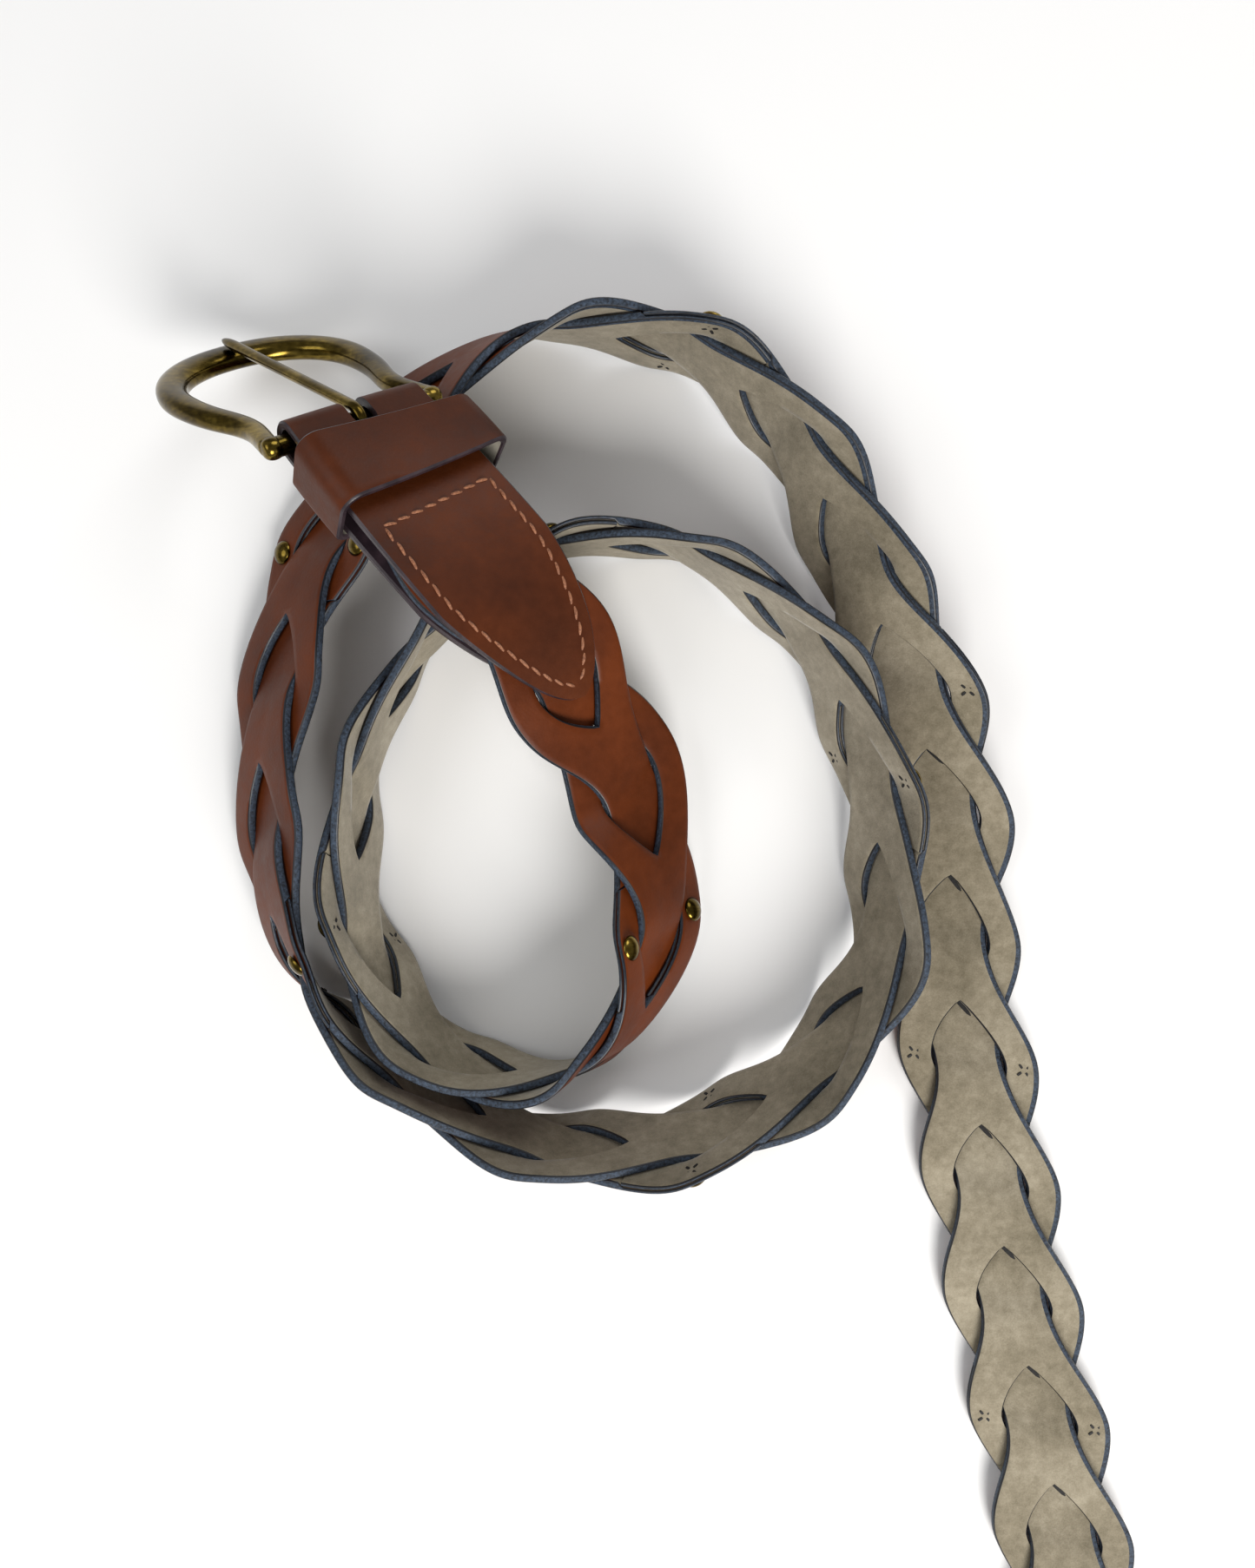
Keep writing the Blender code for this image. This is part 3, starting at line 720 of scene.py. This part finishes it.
def tab_path():
    """The folded strip's line: place along the belt, height and half width."""
    reach = TAB_TIP - TAB_SHOULDER
    path = []
    last = TAB_STATIONS - 1
    for k in range(TAB_STATIONS):
        u = TAB_TIP - (TAB_TIP - BAR_U) * (k / last) ** POINT_CROWDING
        path.append((u, TAB_LAYER, max(0.25, tip_half_width(TAB_TIP - u, reach))))
    for k in range(1, FOLD_STATIONS):
        turn = math.pi * k / FOLD_STATIONS
        path.append((BAR_U - TAB_LAYER * math.sin(turn), TAB_LAYER * math.cos(turn), WIDTH / 2))
    for k in range(TAB_STATIONS):
        u = BAR_U + (TAB_BACK_END - BAR_U) * (1 - (1 - k / last) ** POINT_CROWDING)
        path.append((u, -TAB_LAYER, max(0.25, tip_half_width(TAB_BACK_END - u, reach))))
    return path


def build_tab():
    """The folded strip, with the slot for the prong cut through both its layers at the fold."""
    path = tab_path()
    rings = []
    lanes = np.linspace(-1, 1, 15)
    thick = TAB_LEATHER / 2
    for k, (u, h, half) in enumerate(path):
        before, after = path[max(k - 1, 0)], path[min(k + 1, len(path) - 1)]
        run = np.array([after[0] - before[0], after[1] - before[1]])
        run /= np.linalg.norm(run)
        side = np.array([run[1], -run[0]])
        bevel = min(0.4, half * 0.4)
        flat = half - bevel
        outline = [(v * flat, thick) for v in lanes]
        outline += [(half, thick - bevel), (half, bevel - thick)]
        outline += [(v * flat, -thick) for v in lanes[::-1]]
        outline += [(-half, bevel - thick), (-half, thick - bevel)]
        v = np.array([o[0] for o in outline])
        d = np.array([o[1] for o in outline])
        soft = np.where(d > 0, 0.18 * (1 - (v / max(half, 1)) ** 2), 0)
        rings.append(at_belt(u + (d + soft) * side[0], v, h + (d + soft) * side[1]))
    across = len(lanes)
    slots = [0] * (across - 1) + [1, 1, 1] + [1] * (across - 1) + [1, 1, 1]
    points, faces, marks = loft(rings, slots=slots)
    tab = make_piece("tab_fold", points, faces, [TAB_FRONT, EDGE_PLUM], marks, sharp=40)
    heart, along, wide, normal = belt_frames(BAR_U)
    turns = np.linspace(0, math.pi, 9)
    slot_line = [(-9.0, -SLOT_HALF_WIDTH), (-9.0, SLOT_HALF_WIDTH)]
    end = SLOT_END - BAR_U - SLOT_HALF_WIDTH
    slot_line += [(end + SLOT_HALF_WIDTH * math.sin(t), SLOT_HALF_WIDTH * math.cos(t)) for t in turns]
    rings = []
    for z in (-9.0, 9.0):
        rings.append(np.array([heart + s * along + v * wide + z * normal for s, v in slot_line]))
    points, faces, _ = loft(rings)
    cutter = make_piece("slot_cutter", points, faces, [EDGE_PLUM])
    cut = tab.modifiers.new("slot", "BOOLEAN")
    cut.operation = "DIFFERENCE"
    cut.object = cutter
    bpy.context.view_layer.objects.active = tab
    bpy.context.view_layer.update()
    graph = bpy.context.evaluated_depsgraph_get()
    finished = bpy.data.meshes.new_from_object(tab.evaluated_get(graph))
    tab.modifiers.clear()
    tab.data = finished
    bpy.data.objects.remove(cutter, do_unlink=True)
    finished.shade_smooth()
    finished.set_sharp_from_angle(angle=math.radians(40))
    put(tab, "belt", "tab_leather", "tab_leather")


def keeper_line():
    """The loop's outline across the belt, with the way out at each point."""
    low = -TAB_LAYER - TAB_LEATHER / 2 - 2 * GAP - KEEPER_LEATHER / 2
    high = TAB_LAYER + TAB_LEATHER / 2 + KEEPER_ROOM + KEEPER_LEATHER / 2
    near = WIDTH / 2 + 2 * GAP + KEEPER_LEATHER / 2
    far = -(WIDTH / 2 + KEEPER_SLACK)
    corners = list(zip((near, near, far, far), (low, high, high, low), KEEPER_CORNERS))
    line = []
    for k, (v, h, radius) in enumerate(corners):
        heart = (v - math.copysign(radius, v), h - math.copysign(radius, h))
        start = [-math.pi / 2, 0, math.pi / 2, math.pi][k]
        for turn in start + np.linspace(0, math.pi / 2, 10):
            line.append((heart[0] + radius * math.cos(turn), heart[1] + radius * math.sin(turn), turn))
        nv, nh, nr = corners[(k + 1) % 4]
        end = line[-1]
        heart = (nv - math.copysign(nr, nv), nh - math.copysign(nr, nh))
        turn = start + math.pi / 2
        goal = (heart[0] + nr * math.cos(turn), heart[1] + nr * math.sin(turn))
        for share in np.linspace(0, 1, 9)[1:-1]:
            v = end[0] + share * (goal[0] - end[0])
            h = end[1] + share * (goal[1] - end[1])
            line.append((v, h, turn))
    return line


def build_keeper():
    places = np.linspace(KEEPER_FROM, KEEPER_TO, 9)
    thick = KEEPER_LEATHER / 2
    bevel = 0.38
    ring = [(u, thick + 0.1 * math.sin(math.pi * k / 8)) for k, u in enumerate(places)]
    ring[0] = (KEEPER_FROM + bevel, thick)
    ring[-1] = (KEEPER_TO - bevel, thick)
    ring += [(KEEPER_TO, thick - bevel), (KEEPER_TO, bevel - thick)]
    back = [(u, -thick) for u in places[::-1]]
    back[0] = (KEEPER_TO - bevel, -thick)
    back[-1] = (KEEPER_FROM + bevel, -thick)
    ring += back + [(KEEPER_FROM, bevel - thick), (KEEPER_FROM, thick - bevel)]
    us = np.array([r[0] for r in ring])
    ds = np.array([r[1] for r in ring])
    rings = []
    for v, h, turn in keeper_line():
        rings.append(at_belt(us + KEEPER_SKEW * v, v + math.cos(turn) * ds, h + math.sin(turn) * ds))
    slots = [0] * 8 + [2, 2, 2] + [1] * 8 + [2, 2, 2]
    points, faces, marks = loft(rings, closed=True, slots=slots)
    looks = [TAB_FRONT, KEEPER_SUEDE, EDGE_PLUM]
    keeper = make_piece("keeper_band", points, faces, looks, marks, sharp=40)
    put(keeper, "belt", "tab_leather", "keeper_loop")


def stitch(points, faces, a, b, normal, radius=0.36):
    """Adds one slack stitch from a to b, with both ends sunk in the leather."""
    run = b - a
    length = np.linalg.norm(run)
    run = run / length
    across = np.cross(normal, run)
    base = len(points)
    rings = 7
    sides = 8
    for k in range(rings):
        share = k / (rings - 1)
        lift = 0.3 * math.sin(math.pi * share) - 0.16
        size = radius * (0.62 + 0.38 * math.sin(math.pi * share))
        middle = a + share * length * run + lift * normal
        for j in range(sides):
            turn = math.tau * j / sides
            points.append(middle + size * (math.cos(turn) * across + 0.85 * math.sin(turn) * normal))
    for k in range(rings - 1):
        for j in range(sides):
            m = (j + 1) % sides
            a0, b0 = base + k * sides, base + (k + 1) * sides
            faces.append((a0 + j, a0 + m, b0 + m, b0 + j))
    faces.append(tuple(base + j for j in range(sides))[::-1])
    faces.append(tuple(base + (rings - 1) * sides + j for j in range(sides)))


def outline_stitches(line, points, faces, height, way=1):
    """Stitches along a line of (u, v) places, each a little slanted across the line."""
    line = np.array(line)
    run = np.concatenate([[0], np.cumsum(np.linalg.norm(np.diff(line, axis=0), axis=1))])
    count = max(1, round(run[-1] / STITCH_PITCH))
    marks = np.linspace(0, run[-1], count + 1)
    for a, b in zip(marks, marks[1:]):
        a, b = a + 0.09 * (b - a), b - 0.09 * (b - a)
        at = [np.array([np.interp(s, run, line[:, 0]), np.interp(s, run, line[:, 1])]) for s in (a, b)]
        run_way = (at[1] - at[0]) / np.linalg.norm(at[1] - at[0])
        slant = np.array([-run_way[1], run_way[0]]) * 0.26
        ends = [at[0] - slant, at[1] + slant]
        _, _, _, normal = belt_frames((ends[0][0] + ends[1][0]) / 2)
        stitch(points, faces, at_belt(*ends[0], height), at_belt(*ends[1], height), way * normal)


def tab_outline(end):
    """The tab's two edges moved in by the stitch inset, each from the stitch row to the point."""
    reach = TAB_TIP - TAB_SHOULDER
    side = []
    for u in np.linspace(STITCH_ROW - 1.6, end - 0.4, 120):
        half = tip_half_width(end - u, reach)
        ahead = tip_half_width(end - u - 0.2, reach)
        slope = (half - ahead) / 0.2
        norm = math.hypot(1, slope)
        side.append((u - STITCH_INSET * slope / norm, half - STITCH_INSET / norm))
    side = [p for p in side if p[1] > 0.05]
    return side, [(u, -v) for u, v in side if u > STITCH_ROW + 1.6]


def build_stitching():
    points, faces = [], []
    top = TAB_LAYER + TAB_LEATHER / 2 + 0.12
    for line in tab_outline(TAB_TIP):
        outline_stitches(line, points, faces, top)
    edge = WIDTH / 2 - STITCH_INSET
    outline_stitches([(STITCH_ROW + KEEPER_SKEW * v, v) for v in (edge, -edge)], points, faces, top)
    for line in tab_outline(TAB_BACK_END):
        outline_stitches(line, points, faces, 0.15 - TAB_LAYER - TAB_LEATHER / 2, way=-1)
    # The bar tack at the tab's edge beside the keeper.
    _, _, wide, normal = belt_frames(KEEPER_FROM - 1)
    for k in range(5):
        u = KEEPER_FROM - 2.6 + 0.5 * k
        a = at_belt(u, WIDTH / 2 - 2.0, TAB_LAYER + TAB_LEATHER / 2 + 0.05)
        b = at_belt(u + 0.2, WIDTH / 2 + 0.1, TAB_LAYER + TAB_LEATHER / 2 - 0.3)
        stitch(points, faces, a, b, normal, 0.3)
        c = at_belt(u + 0.1, WIDTH / 2 + 0.15, TAB_LAYER - 0.2)
        stitch(points, faces, b, c, wide, 0.3)
    thread = make_piece("tab_thread", points, faces, [THREAD])
    put(thread, "belt", "tab_leather")


# ---------------------------------------------------------------- tip


def build_tip(name, side):
    """One of the two leather layers of the belt's free end."""
    middle, along, wide, _ = belt_frames((TIP_FROM + TIP_TO) / 2)
    along = np.array([along[0], along[1], 0.0])
    along /= np.linalg.norm(along)
    across = np.cross(along, [0.0, 0.0, 1.0])
    low, high = sorted((side * TIP_INNER, side * (TIP_INNER + TIP_LEATHER)))
    bevel = 0.35
    half_length = (TIP_TO - TIP_FROM) / 2
    rings = []
    lanes = np.linspace(-1, 1, 9)
    for k in range(60):
        s = -half_length + (2 * half_length - 0.3) * (1 - (1 - k / 59) ** 1.3)
        half = max(0.3, tip_half_width(half_length - s, TIP_SHOULDER))
        b = min(bevel, half * 0.4)
        outline = [(v * (half - b), high) for v in lanes]
        outline += [(half, high - b), (half, low + b)]
        outline += [(v * (half - b), low) for v in lanes[::-1]]
        outline += [(-half, low + b), (-half, high - b)]
        ring = [middle + s * along + v * across + np.array([0, 0, z]) for v, z in outline]
        rings.append(np.array(ring))
    slots = [0] * 8 + [2, 2, 2] + [0] * 8 + [2, 2, 2]
    points, faces, marks = loft(rings, slots=slots)
    face = SUEDE if side > 0 else STRAP_FRONT
    piece = make_piece(f"{name}_leather", points, faces, [face, SUEDE, EDGE_DARK], marks, sharp=40)
    put(piece, "belt", "strap_leather", name)
    stitches, stitch_faces = [], []
    normal = np.array([0.0, 0.0, float(side)])
    line = []
    for s in np.linspace(-half_length + 4, half_length - 1.5, 60):
        half = tip_half_width(half_length - s, TIP_SHOULDER)
        if half > TIP_STITCH_INSET + 0.2:
            pulled = TIP_STITCH_INSET if s > half_length - 12 else 0.0
            line.append((s - pulled * 0.3, half - TIP_STITCH_INSET))
    for sign in (1, -1):
        run = [(s, sign * v) for s, v in line]
        total = np.concatenate([[0], np.cumsum([math.dist(p, q) for p, q in zip(run, run[1:])])])
        count = round(total[-1] / STITCH_PITCH)
        for k in range(count):
            pair = []
            for share in (k + 0.1, k + 0.9):
                at = share / count * total[-1]
                s = np.interp(at, total, [p[0] for p in run])
                v = np.interp(at, total, [p[1] for p in run])
                z = high if side > 0 else low
                pair.append(middle + s * along + v * across + np.array([0, 0, z - side * 0.1]))
            stitch(stitches, stitch_faces, pair[0], pair[1], normal, 0.32)
    thread = make_piece(f"{name}_thread", stitches, stitch_faces, [THREAD])
    put(thread, "belt", "strap_leather")


def build_tip_core():
    """The leather between the two layers, from the braid's end to the point."""
    middle, along, _, _ = belt_frames((TIP_FROM + TIP_TO) / 2)
    along = np.array([along[0], along[1], 0.0])
    along /= np.linalg.norm(along)
    across = np.cross(along, [0.0, 0.0, 1.0])
    half_length = (TIP_TO - TIP_FROM) / 2
    thick = TIP_INNER - 0.02
    corners = [(-1, -thick), (-1, -thick * 0.4), (-1, thick * 0.4), (-1, thick)]
    corners += [(1, thick), (1, thick * 0.4), (1, -thick * 0.4), (1, -thick)]
    rings = []
    for s in np.linspace(BRAID_END + 8.0 - (TIP_FROM + TIP_TO) / 2, half_length - 0.8, 40):
        half = max(0.3, tip_half_width(half_length - s, TIP_SHOULDER) - 0.3)
        ring = [middle + s * along + v * half * across + np.array([0, 0, z]) for v, z in corners]
        rings.append(np.array(ring))
    points, faces, _ = loft(rings)
    core = make_piece("tip_core", points, faces, [EDGE_FIBRE], sharp=40)
    put(core, "belt", "strap_leather")


# ---------------------------------------------------------------- buckle


def buckle_axes():
    """The bar's middle, and the ways along the bar, towards the nose and out of the buckle's front."""
    heart, along, wide, normal = belt_frames(BAR_U)
    droop = math.radians(BUCKLE_DROOP)
    nose = -along * math.cos(droop) - normal * math.sin(droop)
    return heart, wide, nose, np.cross(nose, wide)


def frame_outline():
    """The frame's centre line on one side: r, s, half width, half height."""
    return [
        (ARM_AT_BAR, 0.0, 2.2, 2.0), (ARM_AT_BAR - 0.8, 4.0, 2.2, 2.0), (ARM_AT_BAR - 1.8, 9.5, 2.3, 2.1),
        (ARM_AT_BAR - 1.4, 15.0, 2.4, 2.2), (ARM_AT_BAR + 0.6, 22.0, 2.6, 2.3),
        (ARM_AT_BAR + 2.0, 30.0, 2.9, 2.4), (ARM_AT_BAR + 1.8, 38.0, 3.2, 2.5),
        (ARM_AT_BAR - 1.0, 45.0, 3.5, 2.5), (ARM_AT_BAR - 6.2, 50.3, 3.8, 2.5),
        (ARM_AT_BAR - 12.6, 53.2, 4.0, 2.5), (0.0, BUCKLE_LENGTH - 4.0, 4.0, 2.5),
    ]


def build_buckle_frame():
    heart, wide, nose, front = buckle_axes()
    side = frame_outline()
    arch = np.array([(-r, s, a, b) for r, s, a, b in side] + side[-2::-1], float)
    chord = np.concatenate([[0], np.cumsum(np.linalg.norm(np.diff(arch[:, :2], axis=0), axis=1))])
    fine = natural_spline(chord, arch, np.linspace(0, chord[-1], 150))
    bar = []
    bar_end = ARM_AT_BAR - 2.0
    for k in range(31):
        bar.append((bar_end - k * (2 * ARM_AT_BAR - 4.0) / 30, 0.0, BAR_RADIUS, BAR_RADIUS))
    loop = list(map(tuple, fine)) + bar
    rings = []
    sides = 32
    for k, (r, s, a, b) in enumerate(loop):
        before, after = loop[k - 1], loop[(k + 1) % len(loop)]
        run = np.array([after[0] - before[0], after[1] - before[1]])
        run /= np.linalg.norm(run)
        out = np.array([run[1], -run[0]])
        ring = []
        for j in range(sides):
            turn = math.tau * (j + 0.5) / sides
            x = a * math.copysign(abs(math.cos(turn)) ** 0.8, math.cos(turn))
            z = b * math.copysign(abs(math.sin(turn)) ** 0.85, math.sin(turn))
            ring.append(heart + (r + x * out[0]) * wide + (s + x * out[1]) * nose + z * front)
        rings.append(np.array(ring))
    points, faces, _ = loft(rings, closed=True)
    frame_piece = make_piece("buckle_casting", points, faces, [BRASS], sharp=60)
    put(frame_piece, "frame", "brass", "buckle_frame")
    turns = np.arange(28) * math.tau / 28
    for name, side in (("near", 1), ("far", -1)):
        rings = []
        for angle in np.linspace(-1.52, 1.52, 17):
            radius = KNUCKLE_RADIUS * math.cos(angle) ** 0.5
            reach = ARM_AT_BAR - 0.2 + KNUCKLE_HALF_LENGTH * math.sin(angle)
            middle = heart + side * reach * wide
            rings.append(middle + radius * (np.cos(turns)[:, None] * nose + np.sin(turns)[:, None] * front))
        points, faces, _ = loft(rings)
        knuckle = make_piece(f"buckle_knuckle_{name}", points, faces, [BRASS], sharp=60)
        put(knuckle, "frame", "brass")


def build_prong():
    """The prong: a curl round the bar, then a bar that rests on the frame's nose."""
    heart, wide, nose, front = buckle_axes()
    curl = BAR_RADIUS + GAP + PRONG_RADIUS
    rest = 2.5 + GAP + PRONG_RADIUS
    path = []
    for a in np.linspace(-20, -270, 40):
        path.append((curl * math.cos(math.radians(a)), curl * math.sin(math.radians(a))))
    ahead = [(0.0, curl), (9.0, curl + 0.1), (20.0, curl + 0.2), (34.0, curl + 0.3)]
    ahead += [(BUCKLE_LENGTH - 9, rest), (BUCKLE_LENGTH - 3, rest)]
    ahead = np.array(ahead)
    for s in np.linspace(1.5, BUCKLE_LENGTH - 3, 50):
        path.append((s, np.interp(s, ahead[:, 0], ahead[:, 1])))
    rings = []
    sides = 20
    for k, (s, z) in enumerate(path):
        before, after = path[max(k - 1, 0)], path[min(k + 1, len(path) - 1)]
        run = np.array([after[0] - before[0], after[1] - before[1]])
        run /= np.linalg.norm(run)
        out = np.array([-run[1], run[0]])
        left = len(path) - 1 - k
        size = 1.0 if left > 4 else math.sqrt(max(0.06, 1 - ((5 - left) / 5.2) ** 2))
        broad = PRONG_RADIUS * (1.15 if k > 38 else 1.5 - 0.35 * k / 38)
        ring = []
        for j in range(sides):
            turn = math.tau * (j + 0.5) / sides
            x = broad * size * math.cos(turn)
            y = PRONG_RADIUS * size * math.sin(turn)
            ring.append(heart + x * wide + (s + y * out[0]) * nose + (z + y * out[1]) * front)
        rings.append(np.array(ring))
    points, faces, _ = loft(rings)
    prong = make_piece("prong_bar", points, faces, [BRASS], sharp=60)
    put(prong, "prong", "brass", "buckle_prong")


# ---------------------------------------------------------------- studio


def build_studio():
    """The camera, the pale floor and the soft lamps."""
    zero = -ORIGIN * MM
    camera = bpy.data.cameras.new("camera")
    camera.lens = FOCAL_LENGTH
    camera.sensor_width = 36
    camera.clip_start = 0.01
    eye = bpy.data.objects.new("camera", camera)
    eye.location = (zero[0], zero[1], zero[2] + CAMERA_HEIGHT * MM)
    bpy.context.collection.objects.link(eye)
    bpy.context.scene.camera = eye
    mesh = bpy.data.meshes.new("floor")
    half = 3.0
    corners = [(-half, -half, 0), (half, -half, 0), (half, half, 0), (-half, half, 0)]
    mesh.from_pydata(corners, [], [(0, 1, 2, 3)])
    floor = bpy.data.objects.new("floor", mesh)
    floor.location = (0, 0, -0.0002)
    bpy.context.collection.objects.link(floor)
    s = Shader("floor_paper", 0.85)
    s.colour(s.ramp(s.noise(3, 2), [(0.3, (0.86, 0.86, 0.86, 1)), (0.7, (0.9, 0.9, 0.9, 1))]))
    mesh.materials.append(s.material)
    lamps = [
        ("key", (0.25, -0.6, 0.6), 0.5, 10.0, (1.0, 0.98, 0.95)),
        ("fill", (-0.8, 0.1, 0.9), 0.8, 4.0, (0.98, 0.99, 1.0)),
        ("rim", (0.4, 0.9, 0.6), 0.6, 3.0, (1.0, 1.0, 1.0)),
    ]
    for name, place, size, power, colour in lamps:
        light = bpy.data.lights.new(name, "AREA")
        light.shape = "DISK"
        light.size = size
        light.energy = power
        light.color = colour
        lamp = bpy.data.objects.new(name, light)
        lamp.location = place
        aim = np.array([0.0, 0.0, 0.02]) - np.array(place)
        lamp.rotation_euler = (
            math.acos(-aim[2] / np.linalg.norm(aim)),
            0.0,
            math.atan2(aim[1], aim[0]) - math.pi / 2,
        )
        bpy.context.collection.objects.link(lamp)
    world = bpy.data.worlds.new("studio")
    world.use_nodes = True
    world.node_tree.nodes["Background"].inputs["Color"].default_value = (1.0, 1.0, 1.0, 1)
    world.node_tree.nodes["Background"].inputs["Strength"].default_value = 0.3
    bpy.context.scene.world = world
    bpy.context.scene.view_settings.view_transform = "Standard"


build_studio()
build_straps()
build_rivets()
build_crotch_shade()
build_tab()
build_keeper()
build_stitching()
build_tip("tip_front", -1)
build_tip("tip_back", 1)
build_tip_core()
build_buckle_frame()
build_prong()
